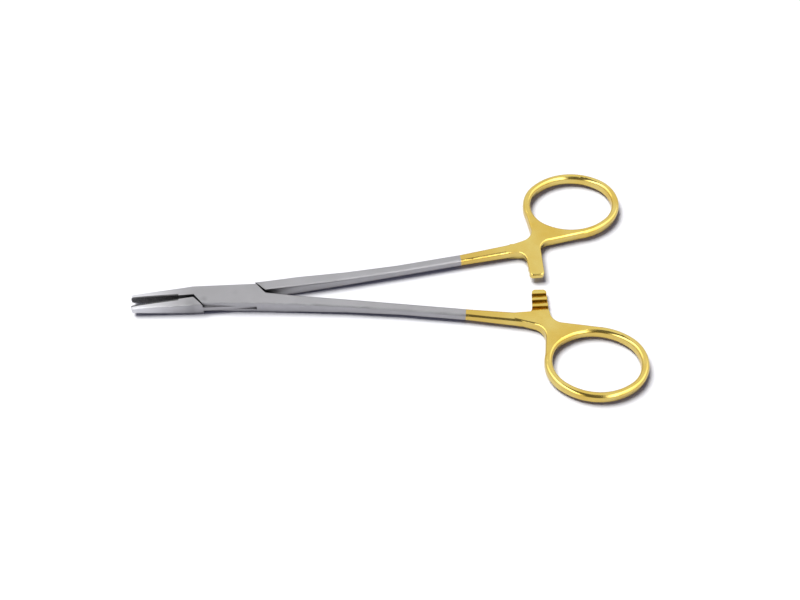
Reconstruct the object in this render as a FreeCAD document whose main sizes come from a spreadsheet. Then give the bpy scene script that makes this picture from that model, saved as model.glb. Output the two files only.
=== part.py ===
# Box-lock needle holder with carbide jaw faces and gold-plated ring handles.
#
# The two halves are drawn closed, with the pivot axis at the origin, the jaws towards -X and the
# rings towards +X, and each is then swung half the opening about the pivot. Heights are measured
# from the middle plane of the instrument, which lies half the box thickness above the table.
# The box half carries the jaw on +Y and the handle on -Y, the tongue half the other way round.

import FreeCAD, Part
import Sketcher
import math
import os

App = FreeCAD

doc = App.newDocument("NeedleHolder")
sheet = doc.addObject("Spreadsheet::Sheet", "Sizes")
sheet.Label = "sizes"

# Driving dimensions in millimetres and degrees
SIZES = [
    ("opening", 4.6, "angle between the jaws at rest"),
    ("handle_turn", 1.7, "angle from the jaws' meeting line to the line midway between the handles"),
    ("box_thickness", 5.0, "thickness of the box and of the jaw roots"),
    ("box_front", 12.7, "pivot to the front corner of the box plates"),
    ("box_front_half_width", 3.2, "half width across the box at the jaw roots"),
    ("box_back", 9.4, "pivot to the crotch between the shanks"),
    ("box_back_half_width", 3.4, "pivot line to the box's side at the tongue half's shank root"),
    ("box_heel_half_width", 4.45, "the same on the box half's own side, which is fuller"),
    ("box_edge_radius", 0.5, "rounding of the long edges of the box"),
    ("lead_edge_x", 10.0, "pivot to the lower end of the plates' front edge"),
    ("trail_edge_x", 6.5, "pivot to the upper end of the plates' back edge"),
    ("slot_front_x", 8.6, "pivot to the outer end of the slot's front wall"),
    ("slot_back_x", 6.8, "pivot to the outer end of the slot's back wall"),
    ("slot_height", 1.6, "height of the slot between the plates"),
    ("tongue_play", 0.05, "clearance between the tongue and each plate"),
    ("shoulder_gap", 0.16, "gap along X between shoulder and plate with the jaws shut"),
    ("crotch_gap", 0.2, "gap between the shank roots with the jaws shut"),
    ("root_land", 0.5, "straight length from a box corner to the jaw root"),
    ("shank_land", 0.2, "straight length from a box corner to the shank root"),
    ("pin_diameter", 2.4, "lock pin"),
    ("pin_play", 0.03, "radial clearance of the pin in the tongue"),
    ("jaw_reach", 32.4, "pivot to the jaw tips"),
    ("jaw_near_x", 20.0, "first jaw section"),
    ("jaw_near_width", 2.6, "width of one jaw there"),
    ("jaw_near_thickness", 4.15, "thickness there"),
    ("jaw_far_x", 26.0, "second jaw section"),
    ("jaw_far_width", 2.05, "width of one jaw there"),
    ("jaw_far_thickness", 3.5, "thickness there"),
    ("jaw_tip_width", 1.5, "width of one jaw at the tip"),
    ("jaw_tip_thickness", 2.3, "thickness at the tip"),
    ("jaw_edge_radius", 0.6, "rounding of the outer jaw edges"),
    ("jaw_nose_radius", 0.9, "rounding of the nose in plan"),
    ("insert_thickness", 0.5, "carbide plate"),
    ("insert_length", 14.9, "carbide plate, back from the tip"),
    ("groove_pitch", 0.6, "cross grooves of the grip"),
    ("groove_width", 0.34, "mouth of one groove"),
    ("groove_depth", 0.14, "depth of one groove"),
    ("groove_count", 24, "number of grooves"),
    ("groove_start", 0.65, "last groove to the back end of the carbide"),
    ("shank_a_x", 20.0, "first shank section"),
    ("shank_a_offset", 2.8, "its centre from the middle line"),
    ("shank_a_width", 3.6, "its width"),
    ("shank_a_thickness", 4.6, "its thickness"),
    ("shank_a_radius", 0.65, "its edge rounding"),
    ("shank_b_x", 35.0, "second shank section"),
    ("shank_b_offset", 3.8, "its centre from the middle line"),
    ("shank_b_width", 3.15, "its width"),
    ("shank_b_thickness", 3.75, "its thickness"),
    ("shank_b_radius", 0.8, "its edge rounding"),
    ("shank_c_x", 52.0, "third shank section"),
    ("shank_c_offset", 5.32, "its centre from the middle line"),
    ("shank_c_width", 2.9, "its width"),
    ("shank_c_thickness", 3.05, "its thickness"),
    ("shank_c_radius", 0.85, "its edge rounding"),
    ("shank_d_x", 72.0, "fourth shank section"),
    ("shank_d_offset", 7.56, "its centre from the middle line"),
    ("shank_d_width", 2.95, "its width"),
    ("shank_d_thickness", 3.0, "its thickness"),
    ("shank_d_radius", 0.9, "its edge rounding"),
    ("shank_e_x", 92.0, "last shank section, inside the web"),
    ("shank_e_offset", 10.08, "its centre from the middle line"),
    ("shank_e_width", 3.7, "its width"),
    ("shank_e_thickness", 3.7, "its thickness"),
    ("shank_e_radius", 0.9, "its edge rounding"),
    ("ring_x", 111.1, "centre of the finger ring"),
    ("ring_offset", 26.1, "centre of the finger ring from the middle line"),
    ("ring_half_length", 14.68, "ring centre line, half its long way"),
    ("ring_half_breadth", 11.65, "ring centre line, half its short way"),
    ("ring_end_radius", 10.1, "bend of the ring centre line at its two narrow ends"),
    ("ring_tilt", 1.8, "outward tilt of the long way"),
    ("ring_wire_width", 2.4, "ring section in plan"),
    ("ring_wire_thickness", 3.7, "ring section in height"),
    ("ring_edge_radius", 1.1, "rounding of the ring's edges"),
    ("web_thickness", 3.7, "flat web between shank, ring and arm"),
    ("web_edge_radius", 0.7, "rounding of the web's edges"),
    ("web_lead", 8.65, "from the arm's middle back to where the web leaves the shank"),
    ("web_start_inner", 8.2, "inner edge of the web there, from the middle line"),
    ("web_start_outer", 10.7, "outer edge of the web there, from the middle line"),
    ("web_outer_corner_x", 96.7, "corner between shank and ring"),
    ("web_outer_corner", 13.6, "that corner from the middle line"),
    ("web_inner_corner", 11.2, "corner between web and arm, from the middle line"),
    ("web_outer_radius", 4.5, "rounding in plan of the corner between shank and ring"),
    ("web_inner_radius", 4.0, "rounding in plan of the corner between web and arm"),
    ("arm_x", 95.65, "middle of the ratchet arm's end"),
    ("arm_end_width", 4.5, "width of the arm at its end"),
    ("arm_inner_flare", 0.45, "slant of the arm's jaw side towards the web"),
    ("arm_outer_flare", 0.35, "slant of the arm's ring side towards the web"),
    ("arm_lead", 7.15, "from the arm's middle back to the foot of its corner on the shank"),
    ("arm_heel", 8.05, "that foot from the middle line"),
    ("arm_corner", 8.4, "corner between shank and arm, from the middle line"),
    ("arm_corner_radius", 3.6, "rounding in plan of that corner"),
    ("arm_overlap", 1.65, "how far each arm passes the middle line when shut"),
    ("arm_step", 7.75, "step from the arm to the full web, from the middle line"),
    ("arm_edge_radius", 0.5, "rounding of the arm's outer edges"),
    ("arm_end_radius", 1.1, "rounding of the arm's end in plan"),
    ("arm_gap", 0.1, "gap between the tooth crests of the two arms"),
    ("tooth_pitch", 2.4, "ratchet teeth"),
    ("tooth_depth", 0.75, "ratchet teeth"),
    ("tooth_ramp", 1.65, "length of the sloping face"),
    ("tooth_start", 1.4, "arm end to the first steep face"),
    ("tooth_count", 3, "number of teeth on each arm"),
]
for row, (alias, number, note) in enumerate(SIZES, start=1):
    sheet.set("A%d" % row, alias)
    sheet.set("B%d" % row, str(number))
    sheet.set("C%d" % row, note)
    sheet.setAlias("B%d" % row, alias)
doc.recompute()

BOX = -1
TONGUE = 1
HALF_NAMES = {BOX: "box_half", TONGUE: "tongue_half"}
BEYOND = "4 * sizes.box_back_half_width"


def value(expression):
    """Number that an expression on the sheet gives."""
    number = sheet.evalExpression(expression.replace("sizes.", ""))
    return float(getattr(number, "Value", number))


def bind(feature, path, expression):
    """Ties one property to the sheet."""
    feature.setExpression(path, expression)


# Places on the handles, which are turned against the box and jaws
def on_handle(along, across):
    """Sheet expressions of a handle point given along and across the handles' middle line."""
    turn = "sizes.handle_turn"
    return (
        "(%s) * cos(%s) + (%s) * sin(%s)" % (along, turn, across, turn),
        "(%s) * cos(%s) - (%s) * sin(%s)" % (across, turn, along, turn),
    )


def box_side(along, side):
    """Side of the box at a place along X, measured from the middle line."""
    back = "sizes.box_heel_half_width" if side == BOX else "sizes.box_back_half_width"
    span = "(sizes.box_front + sizes.root_land + sizes.box_back + sizes.shank_land)"
    growth = "(%s - sizes.box_front_half_width)" % back
    return "%d * (sizes.box_front_half_width + %s * ((%s) + sizes.box_front + sizes.root_land) / %s)" % (
        side, growth, along, span)


# Sketch helpers
def origin_plane(body, role):
    return next(plane for plane in body.Origin.OriginFeatures if plane.Role == role)


def new_sketch(body, name, role):
    sketch = body.newObject("Sketcher::SketchObject", name)
    sketch.AttachmentSupport = [(origin_plane(body, role), "")]
    sketch.MapMode = "FlatFace"
    return sketch


def pin_point(sketch, geometry, end, across, up):
    """Fixes one end of a sketch element at a place given by two sheet expressions."""
    for kind, expression in (("DistanceX", across), ("DistanceY", up)):
        constraint = Sketcher.Constraint(kind, -1, 1, geometry, end, value(expression))
        index = sketch.addConstraint(constraint)
        bind(sketch, "Constraints[%d]" % index, expression)


def outline(sketch, corners):
    """Closed line through corners given by pairs of sheet expressions.

    A corner may add a radius and a turn for the side that starts there: 1 bends it to the left,
    -1 to the right.
    """
    first = len(sketch.Geometry)
    points = [App.Vector(value(corner[0]), value(corner[1]), 0) for corner in corners]
    count = len(corners)
    ends = []
    for index, corner in enumerate(corners):
        start, finish = points[index], points[(index + 1) % count]
        if len(corner) == 2:
            sketch.addGeometry(Part.LineSegment(start, finish), False)
            ends.append((1, 2))
            continue
        radius, turn = value(corner[2]), corner[3]
        chord = finish - start
        inward = App.Vector(-turn * chord.y, turn * chord.x, 0).normalize()
        drop = radius - math.sqrt(radius ** 2 - (chord.Length / 2) ** 2)
        top = (start + finish) / 2 - inward * drop
        ordered = (start, top, finish) if turn > 0 else (finish, top, start)
        sketch.addGeometry(Part.Arc(*ordered), False)
        ends.append((1, 2) if turn > 0 else (2, 1))
    for index, corner in enumerate(corners):
        after = (index + 1) % count
        sketch.addConstraint(Sketcher.Constraint(
            "Coincident", first + index, ends[index][1], first + after, ends[after][0]))
        pin_point(sketch, first + index, ends[index][0], corner[0], corner[1])
        if len(corner) > 2:
            rounding = sketch.addConstraint(
                Sketcher.Constraint("Radius", first + index, value(corner[2])))
            bind(sketch, "Constraints[%d]" % rounding, corner[2])
    return sketch


def drawn(body, name, corners, role="XY_Plane"):
    """New sketch that holds one closed line."""
    return outline(new_sketch(body, name, role), corners)


def section(body, name, station, inner, outer, thickness, radius, round_inner):
    """Cross section on a plane along X, between two places across, with rounded edges.

    The edges on the outer side are rounded on jaws and shanks, those on the inner side only on shanks.
    """
    sketch = new_sketch(body, name, "YZ_Plane")
    bind(sketch, ".AttachmentOffset.Base.z", station)
    toward = 1 if value(outer) > value(inner) else -1
    half = "(%s) / 2" % thickness
    flank = "(%s - (%s))" % (half, radius)
    outer_start = "(%s) - %d * (%s)" % (outer, toward, radius)
    corners = [(outer_start, half, radius, -toward), (outer, flank),
               (outer, "-" + flank, radius, -toward), (outer_start, "-" + half)]
    if round_inner:
        inner_start = "(%s) + %d * (%s)" % (inner, toward, radius)
        corners += [(inner_start, "-" + half, radius, -toward), (inner, "-" + flank),
                    (inner, flank, radius, -toward), (inner_start, half)]
    else:
        corners += [(inner, "-" + half), (inner, half)]
    return outline(sketch, corners)


def pad(body, name, sketch, length, symmetric=True, downward=False):
    feature = body.newObject("PartDesign::Pad", name)
    feature.Profile = sketch
    feature.Midplane = symmetric
    feature.Reversed = downward
    bind(feature, "Length", length)
    return feature


def pocket(body, name, sketch, length):
    feature = body.newObject("PartDesign::Pocket", name)
    feature.Profile = sketch
    feature.Midplane = True
    bind(feature, "Length", length)
    return feature


def loft(body, name, sections, straight):
    feature = body.newObject("PartDesign::AdditiveLoft", name)
    feature.Profile = sections[0]
    feature.Sections = sections[1:]
    feature.Ruled = straight
    return feature


def fillet(body, name, base, radius, wanted):
    """Rounds the edges of the last feature for which the test holds."""
    doc.recompute()
    names = ["Edge%d" % number for number, edge in enumerate(base.Shape.Edges, start=1) if wanted(edge)]
    feature = body.newObject("PartDesign::Fillet", name)
    feature.Base = (base, names)
    bind(feature, "Radius", radius)
    doc.recompute()
    return feature


def flat_edge(edge):
    return edge.BoundBox.ZLength < 0.01


def upright_at(place, edge, reach=0.05):
    """True for an edge that stands upright at a place given by two sheet expressions."""
    box = edge.BoundBox
    return (box.XLength < reach and box.YLength < reach < box.ZLength
            and abs(box.XMin - value(place[0])) < reach and abs(box.YMin - value(place[1])) < reach)


def lies_along(start, finish, edge, reach=0.05):
    """True for a flat edge that lies, seen from above, between two places."""
    low = App.Vector(value(start[0]), value(start[1]), 0)
    way = App.Vector(value(finish[0]), value(finish[1]), 0) - low
    middle = edge.CenterOfMass - low
    middle.z = 0
    share = middle.dot(way) / way.dot(way)
    return flat_edge(edge) and 0 < share < 1 and (middle - way * share).Length < reach


def is_bend(edge):
    """True for a flat edge that bends."""
    return flat_edge(edge) and isinstance(edge.Curve, Part.Circle)


def new_body(name):
    return doc.addObject("PartDesign::Body", name)


def swing(item, label, side):
    """Names a finished piece and swings it half the opening about the pivot."""
    item.Label = label
    item.Placement = App.Placement(App.Vector(), App.Rotation(App.Vector(0, 0, 1), 1))
    bind(item, ".Placement.Base.z", "sizes.box_thickness / 2")
    bind(item, ".Placement.Rotation.Angle", "sizes.handle_turn + %d * sizes.opening / 2" % side)
    return item


def joined(label, side, bodies):
    """One forging out of the bodies it was drawn as."""
    fuse = doc.addObject("Part::MultiFuse", label)
    fuse.Shapes = bodies
    fuse.Refine = True
    return swing(fuse, label, side)


# Jaws, whose meeting face lies on the XZ plane
JAW_ROOT = "-(sizes.box_front + sizes.root_land)"
SHANK_ROOT = "sizes.box_back + sizes.shank_land"


def jaw(body, side):
    """Jaw of one half, on the +Y side for the box half."""
    toward = -side
    stations = (
        ("Root", JAW_ROOT, "sizes.box_front_half_width", "sizes.box_thickness", "sizes.box_edge_radius"),
        ("Near", "-sizes.jaw_near_x", "sizes.jaw_near_width", "sizes.jaw_near_thickness",
         "sizes.jaw_edge_radius"),
        ("Far", "-sizes.jaw_far_x", "sizes.jaw_far_width", "sizes.jaw_far_thickness",
         "sizes.jaw_edge_radius"),
        ("Tip", "-sizes.jaw_reach", "sizes.jaw_tip_width", "sizes.jaw_tip_thickness",
         "sizes.jaw_edge_radius"),
    )
    sections = []
    for name, station, width, thickness, radius in stations:
        outer = "%d * %s" % (toward, width)
        sections.append(section(body, "Jaw" + name, station, "0 * %s" % width, outer, thickness,
                                radius, False))
    loft(body, "Jaw", sections, False)
    nose = "sizes.jaw_nose_radius"
    taper = "(sizes.jaw_far_width - sizes.jaw_tip_width) / (sizes.jaw_reach - sizes.jaw_far_x)"
    side_place = "%d * (sizes.jaw_tip_width + %s * %s)" % (toward, taper, nose)
    nose_cut(body, "NoseSide", "XY_Plane", side_place, nose)
    for name, level in (("NoseTop", 1), ("NoseBottom", -1)):
        nose_cut(body, name, "XZ_Plane", "%d * sizes.jaw_tip_thickness / 2" % level,
                 "sizes.jaw_edge_radius")


def nose_cut(body, name, role, edge, radius):
    """Rounds one edge of the jaw tip, which lies at a place given across the sketch."""
    away = 1 if value(edge) > 0 else -1
    tip = "-sizes.jaw_reach"
    corners = [
        (tip, "%s - %d * %s" % (edge, away, radius), radius, -away),
        ("%s + %s" % (tip, radius), edge),
        ("%s + %s" % (tip, radius), "%s + %d * %s" % (edge, away, radius)),
        ("%s - %s" % (tip, radius), "%s + %d * %s" % (edge, away, radius)),
        ("%s - %s" % (tip, radius), "%s - %d * %s" % (edge, away, radius)),
    ]
    pocket(body, name, drawn(body, name + "Outline", corners, role), "4 * sizes.box_thickness")


def shank(side):
    """Shank of one half as a loft from the box to the web."""
    body = new_body(HALF_NAMES[side] + "_shank")
    sections = []
    inner = "%d * sizes.crotch_gap / 2" % side
    outer = box_side(SHANK_ROOT, side)
    sections.append(section(body, "ShankRoot", SHANK_ROOT, inner, outer, "sizes.box_thickness",
                            "sizes.box_edge_radius", True))
    for letter in "abcde":
        sizes = "sizes.shank_%s_" % letter
        station, centre = on_handle(sizes + "x", "%d * %soffset" % (side, sizes))
        half = "%d * %swidth / 2" % (side, sizes)
        sections.append(section(body, "Shank" + letter.upper(), station, "%s - %s" % (centre, half),
                                "%s + %s" % (centre, half), sizes + "thickness", sizes + "radius",
                                True))
    loft(body, "Shank", sections, True)
    return body


def ring_point(side, angle, outward="0"):
    """Point at an angle round the ring, on its centre line or outward from it."""
    along = "(sizes.ring_half_length + %s) * cos(%s)" % (outward, angle)
    across = "(sizes.ring_half_breadth + %s) * sin(%s)" % (outward, angle)
    tilt = "sizes.ring_tilt"
    return on_handle(
        "sizes.ring_x + %s * cos(%s) - %s * sin(%s)" % (along, tilt, across, tilt),
        "%d * (sizes.ring_offset + %s * sin(%s) + %s * cos(%s))" % (side, along, tilt, across, tilt))


# Angles round the ring: where the web's straight edges touch it, and its outline hidden between
WEB_TOUCH_INNER = 281
WEB_ANGLES = (268, 247, 226, 207, 196)
WEB_TOUCH_OUTER = 188
WEB_TOUCH = "0.42 * sizes.ring_wire_width"
WEB_START = "sizes.arm_x - sizes.web_lead"
ARM_HEEL = "sizes.arm_x - sizes.arm_lead"


def web(side):
    """Flat web that ties shank, ring and ratchet arm together."""
    body = new_body(HALF_NAMES[side] + "_web")
    jaw_side = "sizes.arm_x - sizes.arm_end_width / 2 - sizes.arm_inner_flare"
    ring_side = "sizes.arm_x + sizes.arm_end_width / 2 + sizes.arm_outer_flare"
    arm_foot = on_handle(ring_side, "%d * sizes.arm_step" % side)
    inner_corner = on_handle(ring_side, "%d * sizes.web_inner_corner" % side)
    inner_touch = ring_point(side, WEB_TOUCH_INNER, WEB_TOUCH)
    outer_touch = ring_point(side, WEB_TOUCH_OUTER, WEB_TOUCH)
    hidden = [ring_point(side, angle) for angle in WEB_ANGLES]
    outer_corner = on_handle("sizes.web_outer_corner_x", "%d * sizes.web_outer_corner" % side)
    outer_start = on_handle(WEB_START, "%d * sizes.web_start_outer" % side)
    corners = [
        on_handle(WEB_START, "%d * sizes.web_start_inner" % side),
        on_handle(jaw_side, "%d * sizes.arm_step" % side),
        arm_foot,
        inner_corner,
        inner_touch,
    ] + hidden + [outer_touch, outer_corner, outer_start]
    blank = pad(body, "Web", drawn(body, "WebOutline", corners), "sizes.web_thickness")
    outer = fillet(body, "OuterCorner", blank, "sizes.web_outer_radius",
                   lambda edge: upright_at(outer_corner, edge))
    softened = fillet(body, "InnerCorner", outer, "sizes.web_inner_radius",
                      lambda edge: upright_at(inner_corner, edge))
    seen = ((arm_foot, inner_corner), (inner_corner, inner_touch),
            (outer_touch, outer_corner), (outer_corner, outer_start))
    fillet(body, "WebEdges", softened, "sizes.web_edge_radius",
           lambda edge: is_bend(edge) or any(lies_along(*pair, edge) for pair in seen))
    return body


def arm(side):
    """Ratchet arm: the lower half of the thickness on the box half, the upper on the other."""
    body = new_body(HALF_NAMES[side] + "_arm")
    jaw_side = "sizes.arm_x - sizes.arm_end_width / 2"
    ring_side = "sizes.arm_x + sizes.arm_end_width / 2"
    end = "-(%d) * sizes.arm_overlap" % side
    deep = "%d * sizes.web_inner_corner" % side
    heel = on_handle(ARM_HEEL, "%d * sizes.arm_heel" % side)
    corner = on_handle(jaw_side + " - sizes.arm_inner_flare", "%d * sizes.arm_corner" % side)
    tips = [on_handle(jaw_side, end), on_handle(ring_side, end)]
    foot = on_handle(ring_side + " + sizes.arm_outer_flare", "%d * sizes.arm_step" % side)
    corners = [on_handle(ARM_HEEL, deep), heel, corner] + tips
    corners += [foot, on_handle(ring_side + " + sizes.arm_outer_flare", deep)]
    sketch = drawn(body, "ArmOutline", corners)
    bind(sketch, ".AttachmentOffset.Base.z", "%d * sizes.arm_gap / 2" % side)
    blank = pad(body, "Arm", sketch, "(sizes.web_thickness - sizes.arm_gap) / 2", False, side == BOX)
    bent = fillet(body, "ArmCorner", blank, "sizes.arm_corner_radius",
                  lambda edge: upright_at(corner, edge))
    ended = fillet(body, "ArmEnd", bent, "sizes.arm_end_radius",
                   lambda edge: upright_at(tips[0], edge) or upright_at(tips[1], edge))
    face = value("%d * sizes.web_thickness / 2" % side)
    seen = ((heel, corner), (corner, tips[0]), tips, (tips[1], foot))
    fillet(body, "ArmEdges", ended, "sizes.arm_edge_radius",
           lambda edge: abs(edge.BoundBox.ZMax - face) < 0.01
           and (is_bend(edge) or any(lies_along(*pair, edge) for pair in seen)))
    teeth(body, side)
    return body


def oval(side, grow):
    """Corners and bends of the ring's outline, drawn with two radii, a step off its centre line."""
    end_radius = "(sizes.ring_end_radius + %s)" % grow
    end_centre = "(sizes.ring_half_length - sizes.ring_end_radius)"
    side_radius = ("((%s ^ 2 + sizes.ring_half_breadth ^ 2 - sizes.ring_end_radius ^ 2)"
                   " / (2 * (sizes.ring_half_breadth - sizes.ring_end_radius)))" % end_centre)
    reach = "(%s - sizes.ring_end_radius)" % side_radius
    across_share = "((%s - sizes.ring_half_breadth) / %s)" % (side_radius, reach)
    along = "(%s * (1 + %s / %s))" % (end_centre, end_radius, reach)
    across = "(%s * %s)" % (end_radius, across_share)
    tilt = "sizes.ring_tilt"
    corners = []
    for right, up in ((1, -1), (1, 1), (-1, 1), (-1, -1)):
        place = on_handle(
            "sizes.ring_x + %d * %s * cos(%s) - %d * %s * sin(%s)" % (
                right, along, tilt, up, across, tilt),
            "%d * (sizes.ring_offset + %d * %s * sin(%s) + %d * %s * cos(%s))" % (
                side, right, along, tilt, up, across, tilt))
        radius = end_radius if right * up < 0 else "(%s + %s)" % (side_radius, grow)
        corners.append((*place, radius, side))
    return corners


def ring(side):
    """Finger ring: a flat oval blank whose four edges are rounded until the section is oval too."""
    body = new_body(HALF_NAMES[side] + "_ring")
    sketch = new_sketch(body, "RingOutline", "XY_Plane")
    outline(sketch, oval(side, "sizes.ring_wire_width / 2"))
    outline(sketch, oval(side, "-sizes.ring_wire_width / 2"))
    blank = pad(body, "RingBlank", sketch, "sizes.ring_wire_thickness")
    fillet(body, "Ring", blank, "sizes.ring_edge_radius", flat_edge)
    return body


def teeth(body, side):
    """Saw teeth on the face of the arm that looks at the other arm."""
    along, across = on_handle("sizes.arm_x", "-(%d) * sizes.arm_overlap" % side)
    face = "%d * sizes.arm_gap / 2" % side
    steep = "%s + %d * sizes.tooth_start" % (across, side)
    ramp_end = "%s + %d * (sizes.tooth_start + sizes.tooth_ramp)" % (across, side)
    corners = [
        (steep, "%s + %d * sizes.tooth_depth" % (face, side)),
        (ramp_end, face),
        (ramp_end, "%s - %d * sizes.arm_gap" % (face, side)),
        (steep, "%s - %d * sizes.arm_gap" % (face, side)),
    ]
    sketch = drawn(body, "ToothOutline", corners, "YZ_Plane")
    bind(sketch, ".AttachmentOffset.Base.z", along)
    cut = pocket(body, "Tooth", sketch, "2 * sizes.arm_end_width")
    doc.recompute()
    row = body.newObject("PartDesign::LinearPattern", "Teeth")
    row.Originals = [cut]
    row.Direction = (origin_plane(body, "Y_Axis"), [""])
    row.Reversed = side == BOX
    bind(row, "Length", "sizes.tooth_pitch * (sizes.tooth_count - 1)")
    bind(row, "Occurrences", "sizes.tooth_count")
    body.Tip = row
    return row


def outside(side):
    """Everything of one half but its share of the box."""
    gripping = new_body(HALF_NAMES[side] + "_jaw")
    jaw(gripping, side)
    seat(gripping, side)
    return [gripping, shank(side), web(side), arm(side), ring(side)]


def box_edges(body, base, corners):
    """Rounds the long upper and lower edges that a block has between each pair of corners."""
    level = value("sizes.box_thickness") / 2
    return fillet(body, "LongEdges", base, "sizes.box_edge_radius",
                  lambda edge: abs(abs(edge.CenterOfMass.z) - level) < 0.01
                  and any(lies_along(*pair, edge) for pair in corners))


# Female half
def box_half():
    plates = new_body("box_half_plates")
    lead = ("-sizes.lead_edge_x", box_side("-sizes.lead_edge_x", BOX))
    lead_end = (SHANK_ROOT, "-sizes.box_heel_half_width")
    trail = ("sizes.trail_edge_x", box_side("sizes.trail_edge_x", TONGUE))
    trail_end = (JAW_ROOT, "sizes.box_front_half_width")
    outer_line = [
        (JAW_ROOT, "0 * sizes.box_front"),
        ("-sizes.box_front", "0 * sizes.box_front"),
        lead,
        lead_end,
        (SHANK_ROOT, "-sizes.crotch_gap / 2"),
        ("sizes.box_back", "-sizes.crotch_gap / 2"),
        trail,
        trail_end,
    ]
    block = pad(plates, "Box", drawn(plates, "BoxOutline", outer_line), "sizes.box_thickness")
    box_edges(plates, block, ((lead, lead_end), (trail, trail_end)))
    slot = [
        ("-sizes.box_front", "0 * sizes.box_front"),
        ("-sizes.slot_front_x", box_side("-sizes.slot_front_x", TONGUE)),
        ("-sizes.slot_front_x", BEYOND),
        (SHANK_ROOT, BEYOND),
        ("sizes.box_back", "-sizes.crotch_gap / 2"),
        ("sizes.slot_back_x", box_side("sizes.slot_back_x", BOX)),
        ("sizes.slot_back_x", "-" + BEYOND),
        (JAW_ROOT, "-" + BEYOND),
    ]
    pocket(plates, "Slot", drawn(plates, "SlotOutline", slot), "sizes.slot_height")
    pin_hole(plates, "sizes.pin_diameter")
    return joined("box_half", BOX, [plates] + outside(BOX))


def pin_hole(body, diameter):
    sketch = new_sketch(body, "PinHoleCircle", "XY_Plane")
    circle = sketch.addGeometry(Part.Circle(App.Vector(), App.Vector(0, 0, 1), value(diameter) / 2), False)
    sketch.addConstraint(Sketcher.Constraint("Coincident", circle, 3, -1, 1))
    index = sketch.addConstraint(Sketcher.Constraint("Diameter", circle, value(diameter)))
    bind(sketch, "Constraints[%d]" % index, diameter)
    return pocket(body, "PinHole", sketch, "2 * sizes.box_thickness")


def seat(body, side):
    """Recess in the jaw for the carbide plate."""
    toward = -side
    back = "sizes.insert_length - sizes.jaw_reach"
    corners = [
        (back, "%d * sizes.insert_thickness" % toward),
        (back, "-(%d) * sizes.insert_thickness" % toward),
        ("-sizes.jaw_reach - sizes.insert_thickness", "-(%d) * sizes.insert_thickness" % toward),
        ("-sizes.jaw_reach - sizes.insert_thickness", "%d * sizes.insert_thickness" % toward),
    ]
    return pocket(body, "Seat", drawn(body, "SeatOutline", corners), "2 * sizes.box_thickness")


# Male half
def tongue_half():
    core = new_body("tongue_half_core")
    tongue = [
        (JAW_ROOT, "0 * sizes.box_front"),
        ("-sizes.box_front + sizes.shoulder_gap", "0 * sizes.box_front"),
        ("-sizes.slot_front_x + sizes.shoulder_gap", box_side("-sizes.slot_front_x", TONGUE)),
        (SHANK_ROOT, "sizes.box_back_half_width"),
        (SHANK_ROOT, "sizes.crotch_gap / 2"),
        ("sizes.box_back - sizes.shoulder_gap", "-sizes.crotch_gap / 2"),
        ("sizes.slot_back_x - sizes.shoulder_gap", box_side("sizes.slot_back_x", BOX)),
        (JAW_ROOT, "-sizes.box_front_half_width"),
    ]
    pad(core, "Tongue", drawn(core, "TongueOutline", tongue),
        "sizes.slot_height - 2 * sizes.tongue_play")
    doc.recompute()
    front = ("-sizes.lead_edge_x - sizes.shoulder_gap", box_side("-sizes.lead_edge_x", BOX))
    front_end = (JAW_ROOT, "-sizes.box_front_half_width")
    front_block = [
        (JAW_ROOT, "0 * sizes.box_front"),
        ("-sizes.box_front - sizes.shoulder_gap", "0 * sizes.box_front"),
        front,
        front_end,
    ]
    pad(core, "FrontShoulder", drawn(core, "FrontShoulderOutline", front_block),
        "sizes.box_thickness")
    doc.recompute()
    back = ("sizes.trail_edge_x + sizes.shoulder_gap", box_side("sizes.trail_edge_x", TONGUE))
    back_end = (SHANK_ROOT, "sizes.box_back_half_width")
    back_block = [
        back,
        ("sizes.box_back + sizes.shoulder_gap", "sizes.crotch_gap / 2"),
        (SHANK_ROOT, "sizes.crotch_gap / 2"),
        back_end,
    ]
    block = pad(core, "BackShoulder", drawn(core, "BackShoulderOutline", back_block),
                "sizes.box_thickness")
    box_edges(core, block, ((front, front_end), (back, back_end)))
    pin_hole(core, "sizes.pin_diameter + 2 * sizes.pin_play")
    return joined("tongue_half", TONGUE, [core] + outside(TONGUE))


# Carbide plates
def jaw_insert(label, side):
    """The strip of the jaw that the seat leaves out, with cross grooves on its face."""
    body = new_body(label)
    jaw(body, side)
    toward = -side
    back = "sizes.insert_length - sizes.jaw_reach"
    beyond = "%d * %s" % (toward, BEYOND)
    front = "-sizes.jaw_reach - sizes.insert_thickness"
    waste = [
        (front, "%d * sizes.insert_thickness" % toward),
        (back, "%d * sizes.insert_thickness" % toward),
        (back, "-(%d) * sizes.insert_thickness" % toward),
        ("0 * sizes.jaw_reach", "-(%d) * sizes.insert_thickness" % toward),
        ("0 * sizes.jaw_reach", beyond),
        (front, beyond),
    ]
    pocket(body, "JawSteel", drawn(body, "JawSteelOutline", waste), "2 * sizes.box_thickness")
    middle = "%s - sizes.groove_start" % back
    groove = [
        ("%s - sizes.groove_width / 2" % middle, "0 * sizes.groove_width"),
        (middle, "%d * sizes.groove_depth" % toward),
        ("%s + sizes.groove_width / 2" % middle, "0 * sizes.groove_width"),
        (middle, "-(%d) * sizes.groove_depth" % toward),
    ]
    cut = pocket(body, "Groove", drawn(body, "GrooveOutline", groove), "2 * sizes.box_thickness")
    doc.recompute()
    row = body.newObject("PartDesign::LinearPattern", "Grooves")
    row.Originals = [cut]
    row.Direction = (origin_plane(body, "X_Axis"), [""])
    row.Reversed = True
    bind(row, "Length", "sizes.groove_pitch * (sizes.groove_count - 1)")
    bind(row, "Occurrences", "sizes.groove_count")
    body.Tip = row
    return swing(body, label, side)


# Flush lock pin
def lock_pin():
    pin = doc.addObject("Part::Cylinder", "lock_pin")
    pin.Label = "lock_pin"
    bind(pin, "Radius", "sizes.pin_diameter / 2")
    bind(pin, "Height", "sizes.box_thickness")
    return pin


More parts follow.
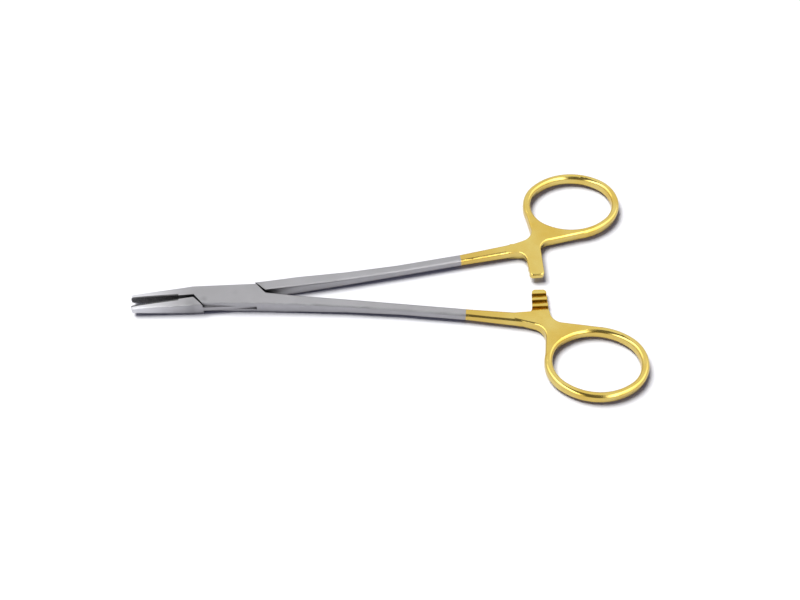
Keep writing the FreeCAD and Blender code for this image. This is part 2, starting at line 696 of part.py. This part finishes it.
parts = [
    box_half(),
    tongue_half(),
    lock_pin(),
    jaw_insert("box_jaw_insert", BOX),
    jaw_insert("tongue_jaw_insert", TONGUE),
]
doc.recompute()

for item in doc.Objects:
    if "Invalid" in item.State or "Error" in item.State:
        raise RuntimeError("%s did not rebuild" % item.Label)
for part in parts:
    if part.Shape.isNull() or not part.Shape.isValid():
        raise RuntimeError("%s has no valid shape" % part.Label)

os.makedirs("parts", exist_ok=True)
for part in parts:
    part.Shape.exportStep("parts/%s.step" % part.Label)
    print("%s: %d solid, %.1f mm3" % (part.Label, len(part.Shape.Solids), part.Shape.Volume))
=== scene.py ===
import math

import bpy
from mathutils import Matrix, Vector

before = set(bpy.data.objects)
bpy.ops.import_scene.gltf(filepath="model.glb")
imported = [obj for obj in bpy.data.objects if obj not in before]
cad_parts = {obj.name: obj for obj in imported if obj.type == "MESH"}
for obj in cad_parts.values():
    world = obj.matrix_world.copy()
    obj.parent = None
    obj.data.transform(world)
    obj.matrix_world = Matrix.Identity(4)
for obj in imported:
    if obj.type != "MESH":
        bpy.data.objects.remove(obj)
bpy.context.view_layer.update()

MM = 0.001
BLACK = (0.0, 0.0, 0.0)
WHITE = (1.0, 1.0, 1.0)

# Camera, fitted to the photograph
LENS_MM = 57.04
SENSOR_MM = 36.0
CAMERA_DISTANCE = 397.8 * MM
CAMERA_ELEVATION = math.radians(55.66)
CAMERA_TURN = math.radians(3.09)
LOOK_AT = Vector((51.64, -3.85, 2.5)) * MM
CLIP_START = 10 * MM

# Plating: where the gold starts on each shank, the way along the shank there, and
# half the width of the line
PLATING = {
    "box_half": (Vector((71.75, -10.6, 0)) * MM, Vector((1, -0.12, 0))),
    "tongue_half": (Vector((71.75, 10.6, 0)) * MM, Vector((1, 0.12, 0))),
}
PLATING_EDGE = 0.1 * MM

# Noise patterns are (scale per metre, detail), bumps are (strength, height)
NOISE_SPAN = (0.3, 0.7)

STEEL = (0.46, 0.455, 0.475)
STEEL_HIGHLIGHT = (0.80, 0.80, 0.83)
STEEL_DARK = (0.41, 0.405, 0.42)
STEEL_CLOUD = (90, 4)
STEEL_WEAR = (300, 4)
STEEL_ROUGHNESS = (0.34, 0.46)
STEEL_GRAIN = (5200, 2)
STEEL_BUMP = (0.25, 0.02 * MM)

GOLD = (0.82, 0.65, 0.20)
GOLD_DEEP = (0.76, 0.53, 0.11)
GOLD_CLOUD = (120, 3)
GOLD_WEAR = (260, 4)
GOLD_ROUGHNESS = (0.09, 0.17)
GOLD_WAVES = (700, 3)
GOLD_BUMP = (0.12, 0.04 * MM)

# The gold is deeper on the shank, and turns to that of the rings between two places along X
GOLD_SHANK = (0.72, 0.51, 0.12)
DEEP_SHANK = (74 * MM, 92 * MM)

CARBIDE = (0.10, 0.10, 0.105)
CARBIDE_LIGHT = (0.17, 0.17, 0.175)
CARBIDE_SPECKLE = (2400, 3)
CARBIDE_WEAR = (900, 3)
CARBIDE_ROUGHNESS = (0.42, 0.58)
CARBIDE_BUMP = (0.4, 0.03 * MM)

# Painted shade in gaps and corners, darker where a point is more closed in: reach, how closed in
# a point is, and the shade's colour
CORNER_REACH = 2.6 * MM
CORNER_SAMPLES = 8
CORNER_SHADE = (0.12, 0.70)
PAINTED_SHADE_STEEL = (0.02, 0.02, 0.022)
PAINTED_SHADE_GOLD = (0.42, 0.26, 0.05)

# Painted highlight: the jaws are brighter towards their tips
TIP_HIGHLIGHT_SPAN = (-13 * MM, -31 * MM)
TIP_HIGHLIGHT = 0.9

# Faint grey marks on the steel, as place in mm, radius in mm and strength
SMUDGES = [
    ((-13.6, -3.1), 2.6, 0.42),
    ((-9.5, -1.9), 1.7, 0.40),
    ((8.3, 3.4), 1.8, 0.20),
    ((0.2, 0.2), 1.7, 0.14),
]
SMUDGE_COLOR = (0.20, 0.20, 0.21)
SMUDGE_BLOT = (500, 3)
SMUDGE_PATCHES = (0.5, 1.0)

# Floor
FLOOR_SIZE = 6
FLOOR_DROP = 0.02 * MM
FLOOR_CLOUD = (40, 3)
FLOOR_WHITE = (0.95, 0.95, 0.95)
FLOOR_WHITER = (0.97, 0.97, 0.97)
FLOOR_ROUGHNESS = 0.9
FLOOR_IN_METAL = (0.74, 0.74, 0.74)

# What the metal sees of the studio. Limits are parts of a direction of length 1, and
# each area fades between its two limits.
TENT_LOW = 0.75
TENT_HIGH = 0.93
TENT_RISE = (0.0, 0.55)
GAP_CENTRE = -0.06
GAP_STRENGTH = 0.82
GAP_SIDE = (0.30, 0.19)
GAP_FRONT = (0.28, 0.02)
PANEL_STRENGTH = 0.8
PANEL_INNER = (0.30, 0.42)
PANEL_OUTER = (0.95, 0.72)
PANEL_BACK = (0.55, 0.30)
LAMP_STRENGTH = 1.8
LAMP_INNER = (0.28, 0.36)
LAMP_OUTER = (0.60, 0.48)
LAMP_BACK = (0.30, 0.10)

# What everything else is lit by: a cool fill and one soft key
FILL = (0.10, 0.10, 0.155)
KEY_WAY = (0.36, -0.20, -1)
KEY_SPREAD = math.radians(32)
KEY_STRENGTH = 3.6


# Node helpers
def link(tree, source, target):
    tree.links.new(source, target)


def feed(tree, socket, value):
    """Set a socket to a number or a colour, or link another socket to it."""
    if isinstance(value, bpy.types.NodeSocket):
        link(tree, value, socket)
    elif isinstance(value, tuple):
        socket.default_value = (*value, 1)
    else:
        socket.default_value = value


def new_material(name):
    material = bpy.data.materials.new(name)
    material.use_nodes = True
    tree = material.node_tree
    tree.nodes.clear()
    output = tree.nodes.new("ShaderNodeOutputMaterial")
    return material, tree, output


def object_coordinates(tree):
    return tree.nodes.new("ShaderNodeTexCoord").outputs["Object"]


def noise(tree, place, pattern):
    texture = tree.nodes.new("ShaderNodeTexNoise")
    texture.inputs["Scale"].default_value, texture.inputs["Detail"].default_value = pattern
    link(tree, place, texture.inputs["Vector"])
    return texture.outputs["Fac"]


def remap(tree, value, limits=(0.0, 1.0)):
    """A noise, whose values lie mostly within NOISE_SPAN, spread between two limits."""
    mapped = tree.nodes.new("ShaderNodeMapRange")
    mapped.inputs["From Min"].default_value, mapped.inputs["From Max"].default_value = NOISE_SPAN
    mapped.inputs["To Min"].default_value, mapped.inputs["To Max"].default_value = limits
    link(tree, value, mapped.inputs["Value"])
    return mapped.outputs["Result"]


def ramp(tree, value, limits):
    """0 at the first limit, 1 at the second, smooth between them."""
    rising = limits[0] < limits[1]
    soft = tree.nodes.new("ShaderNodeMapRange")
    soft.interpolation_type = "SMOOTHSTEP"
    soft.inputs["From Min"].default_value = min(limits)
    soft.inputs["From Max"].default_value = max(limits)
    soft.inputs["To Min"].default_value = 0.0 if rising else 1.0
    soft.inputs["To Max"].default_value = 1.0 if rising else 0.0
    link(tree, value, soft.inputs["Value"])
    return soft.outputs["Result"]


def combine(tree, operation, first, second):
    made = tree.nodes.new("ShaderNodeMath")
    made.operation = operation
    feed(tree, made.inputs[0], first)
    feed(tree, made.inputs[1], second)
    return made.outputs["Value"]


def product(tree, first, *others):
    for other in others:
        first = combine(tree, "MULTIPLY", first, other)
    return first


def vector_math(tree, operation, place, second, result="Vector"):
    made = tree.nodes.new("ShaderNodeVectorMath")
    made.operation = operation
    link(tree, place, made.inputs[0])
    made.inputs[1].default_value = second
    return made.outputs[result]


def split_xyz(tree, place):
    split = tree.nodes.new("ShaderNodeSeparateXYZ")
    link(tree, place, split.inputs["Vector"])
    return split.outputs["X"], split.outputs["Y"], split.outputs["Z"]


def mix_color(tree, factor, first, second):
    mixer = tree.nodes.new("ShaderNodeMix")
    mixer.data_type = "RGBA"
    link(tree, factor, mixer.inputs["Factor"])
    feed(tree, mixer.inputs[6], first)
    feed(tree, mixer.inputs[7], second)
    return mixer.outputs[2]


def mix_shader(tree, factor, first, second):
    blend = tree.nodes.new("ShaderNodeMixShader")
    link(tree, factor, blend.inputs["Fac"])
    link(tree, first, blend.inputs[1])
    link(tree, second, blend.inputs[2])
    return blend.outputs["Shader"]


def bump(tree, height, size):
    made = tree.nodes.new("ShaderNodeBump")
    made.inputs["Strength"].default_value, made.inputs["Distance"].default_value = size
    link(tree, height, made.inputs["Height"])
    return made.outputs["Normal"]


def metal(tree, color, roughness, normal):
    shader = tree.nodes.new("ShaderNodeBsdfPrincipled")
    shader.inputs["Metallic"].default_value = 1.0
    link(tree, color, shader.inputs["Base Color"])
    link(tree, roughness, shader.inputs["Roughness"])
    link(tree, normal, shader.inputs["Normal"])
    return shader.outputs["BSDF"]


def before_diffuse(tree, path):
    """1 for a ray that has met no matt surface yet, 0 for the others."""
    return combine(tree, "LESS_THAN", path.outputs["Diffuse Depth"], 0.5)


# Materials
def smudged(tree, place):
    """How strongly the steel is marked, from 0 to 1."""
    flat = vector_math(tree, "MULTIPLY", place, (1, 1, 0))
    blot = remap(tree, noise(tree, place, SMUDGE_BLOT), SMUDGE_PATCHES)
    total = 0.0
    for (x, y), radius, strength in SMUDGES:
        away = vector_math(tree, "DISTANCE", flat, (x * MM, y * MM, 0), "Value")
        near = ramp(tree, away, (radius * MM, 0))
        total = combine(tree, "ADD", product(tree, near, strength), total)
    return product(tree, total, blot)


def with_painted_corner_shade(tree, color, shade_color):
    """The colour with painted shade, darker deep in a gap or a corner."""
    hollow = tree.nodes.new("ShaderNodeAmbientOcclusion")
    hollow.samples = CORNER_SAMPLES
    hollow.inputs["Distance"].default_value = CORNER_REACH
    return mix_color(tree, ramp(tree, hollow.outputs["AO"], CORNER_SHADE), shade_color, color)


def satin_steel(tree, place):
    color = mix_color(tree, remap(tree, noise(tree, place, STEEL_CLOUD)), STEEL_DARK, STEEL)
    x = split_xyz(tree, place)[0]
    # Painted highlight: brighter steel towards the jaw tips
    tip_highlight = product(tree, ramp(tree, x, TIP_HIGHLIGHT_SPAN), TIP_HIGHLIGHT)
    color = mix_color(tree, tip_highlight, color, STEEL_HIGHLIGHT)
    color = mix_color(tree, smudged(tree, place), color, SMUDGE_COLOR)
    # Painted shade in gaps and corners
    color = with_painted_corner_shade(tree, color, PAINTED_SHADE_STEEL)
    roughness = remap(tree, noise(tree, place, STEEL_WEAR), STEEL_ROUGHNESS)
    normal = bump(tree, noise(tree, place, STEEL_GRAIN), STEEL_BUMP)
    return metal(tree, color, roughness, normal)


def bright_gold(tree, place):
    color = mix_color(tree, remap(tree, noise(tree, place, GOLD_CLOUD)), GOLD_DEEP, GOLD)
    x = split_xyz(tree, place)[0]
    color = mix_color(tree, ramp(tree, x, DEEP_SHANK), GOLD_SHANK, color)
    # Painted shade in gaps and corners
    color = with_painted_corner_shade(tree, color, PAINTED_SHADE_GOLD)
    roughness = remap(tree, noise(tree, place, GOLD_WEAR), GOLD_ROUGHNESS)
    normal = bump(tree, noise(tree, place, GOLD_WAVES), GOLD_BUMP)
    return metal(tree, color, roughness, normal)


def plated_forging(name, start, way):
    """Satin steel that turns to bright gold at a line across the shank."""
    material, tree, output = new_material(name)
    place = object_coordinates(tree)
    offset = vector_math(tree, "SUBTRACT", place, start)
    along = vector_math(tree, "DOT_PRODUCT", offset, way.normalized(), "Value")
    line = tree.nodes.new("ShaderNodeMapRange")
    line.inputs["From Min"].default_value = -PLATING_EDGE
    line.inputs["From Max"].default_value = PLATING_EDGE
    link(tree, along, line.inputs["Value"])
    surface = mix_shader(
        tree, line.outputs["Result"], satin_steel(tree, place), bright_gold(tree, place))
    link(tree, surface, output.inputs["Surface"])
    return material


def plain_steel():
    material, tree, output = new_material("pin_steel")
    link(tree, satin_steel(tree, object_coordinates(tree)), output.inputs["Surface"])
    return material


def carbide():
    material, tree, output = new_material("carbide")
    place = object_coordinates(tree)
    speckle = noise(tree, place, CARBIDE_SPECKLE)
    color = mix_color(tree, remap(tree, speckle), CARBIDE, CARBIDE_LIGHT)
    roughness = remap(tree, noise(tree, place, CARBIDE_WEAR), CARBIDE_ROUGHNESS)
    surface = metal(tree, color, roughness, bump(tree, speckle, CARBIDE_BUMP))
    link(tree, surface, output.inputs["Surface"])
    return material


def paper_floor():
    """Matt white, black to light that a matt surface sent on, so that gold casts no brown."""
    material, tree, output = new_material("paper_floor")
    path = tree.nodes.new("ShaderNodeLightPath")
    cloud = noise(tree, object_coordinates(tree), FLOOR_CLOUD)
    color = mix_color(tree, cloud, FLOOR_WHITE, FLOOR_WHITER)
    color = mix_color(tree, before_diffuse(tree, path), BLACK, color)
    color = mix_color(tree, path.outputs["Is Glossy Ray"], color, FLOOR_IN_METAL)
    shader = tree.nodes.new("ShaderNodeBsdfPrincipled")
    link(tree, color, shader.inputs["Base Color"])
    shader.inputs["Metallic"].default_value = 0.0
    shader.inputs["Roughness"].default_value = FLOOR_ROUGHNESS
    shader.inputs["Specular IOR Level"].default_value = 0.0
    link(tree, shader.outputs["BSDF"], output.inputs["Surface"])
    return material


def dress(name, material):
    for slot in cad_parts[name].material_slots:
        slot.material = material


# Scene
def add_floor():
    bpy.ops.mesh.primitive_plane_add(size=FLOOR_SIZE, location=(0, 0, -FLOOR_DROP))
    floor = bpy.context.object
    floor.name = "floor"
    floor.data.materials.append(paper_floor())


def add_camera():
    away = Vector((
        -math.sin(CAMERA_TURN) * math.cos(CAMERA_ELEVATION),
        -math.cos(CAMERA_TURN) * math.cos(CAMERA_ELEVATION),
        math.sin(CAMERA_ELEVATION),
    ))
    right = Vector((math.cos(CAMERA_TURN), -math.sin(CAMERA_TURN), 0))
    up = away.cross(right)
    data = bpy.data.cameras.new("camera")
    data.lens = LENS_MM
    data.sensor_width = SENSOR_MM
    data.sensor_fit = "HORIZONTAL"
    data.clip_start = CLIP_START
    camera = bpy.data.objects.new("camera", data)
    turn = Matrix((right, up, away)).transposed().to_4x4()
    camera.matrix_world = Matrix.Translation(LOOK_AT + away * CAMERA_DISTANCE) @ turn
    bpy.context.collection.objects.link(camera)
    bpy.context.scene.camera = camera


def add_key():
    """The light that casts the shadow. The metal mirrors the tent in its place."""
    data = bpy.data.lights.new("key", "SUN")
    data.angle = KEY_SPREAD
    data.energy = KEY_STRENGTH
    light = bpy.data.objects.new("key", data)
    light.rotation_euler = Vector(KEY_WAY).to_track_quat("-Z", "Y").to_euler()
    light.visible_glossy = False
    bpy.context.collection.objects.link(light)


def background(tree, color):
    shader = tree.nodes.new("ShaderNodeBackground")
    feed(tree, shader.inputs["Color"], color)
    return shader.outputs["Background"]


def studio_tent(tree):
    """Brightness of a white tent with a dark gap, two panels and two lamps."""
    direction = tree.nodes.new("ShaderNodeTexCoord").outputs["Generated"]
    x, back, z = split_xyz(tree, direction)
    aside = combine(tree, "ABSOLUTE", combine(tree, "SUBTRACT", x, GAP_CENTRE), 0.0)
    height = ramp(tree, z, TENT_RISE)

    def pair(inner, outer, depth, strength):
        """An area on each side of the gap."""
        return product(
            tree, ramp(tree, aside, inner), ramp(tree, aside, outer),
            ramp(tree, back, depth), height, strength)

    tent = combine(tree, "ADD", product(tree, height, TENT_HIGH - TENT_LOW), TENT_LOW)
    gap = product(
        tree, ramp(tree, aside, GAP_SIDE), ramp(tree, back, GAP_FRONT), GAP_STRENGTH)
    tent = product(tree, tent, combine(tree, "SUBTRACT", 1.0, gap))
    panels = pair(PANEL_INNER, PANEL_OUTER, PANEL_BACK, PANEL_STRENGTH)
    lamps = pair(LAMP_INNER, LAMP_OUTER, LAMP_BACK, LAMP_STRENGTH)
    return combine(tree, "ADD", combine(tree, "ADD", tent, panels), lamps)


def add_world():
    """White to the camera, the tent to the metal, and a cool fill to the rest."""
    world = bpy.data.worlds.new("studio")
    bpy.context.scene.world = world
    world.use_nodes = True
    tree = world.node_tree
    tree.nodes.clear()
    path = tree.nodes.new("ShaderNodeLightPath")
    mirrored = product(tree, path.outputs["Is Glossy Ray"], before_diffuse(tree, path))
    lit = mix_shader(
        tree, mirrored, background(tree, FILL), background(tree, studio_tent(tree)))
    seen = mix_shader(tree, path.outputs["Is Camera Ray"], lit, background(tree, WHITE))
    output = tree.nodes.new("ShaderNodeOutputWorld")
    link(tree, seen, output.inputs["Surface"])


for half, (start, way) in PLATING.items():
    dress(half, plated_forging(half + "_metal", start, way))
dress("lock_pin", plain_steel())
jaw_face = carbide()
dress("box_jaw_insert", jaw_face)
dress("tongue_jaw_insert", jaw_face)

add_floor()
add_camera()
add_world()
add_key()

bpy.context.scene.view_settings.view_transform = "Standard"
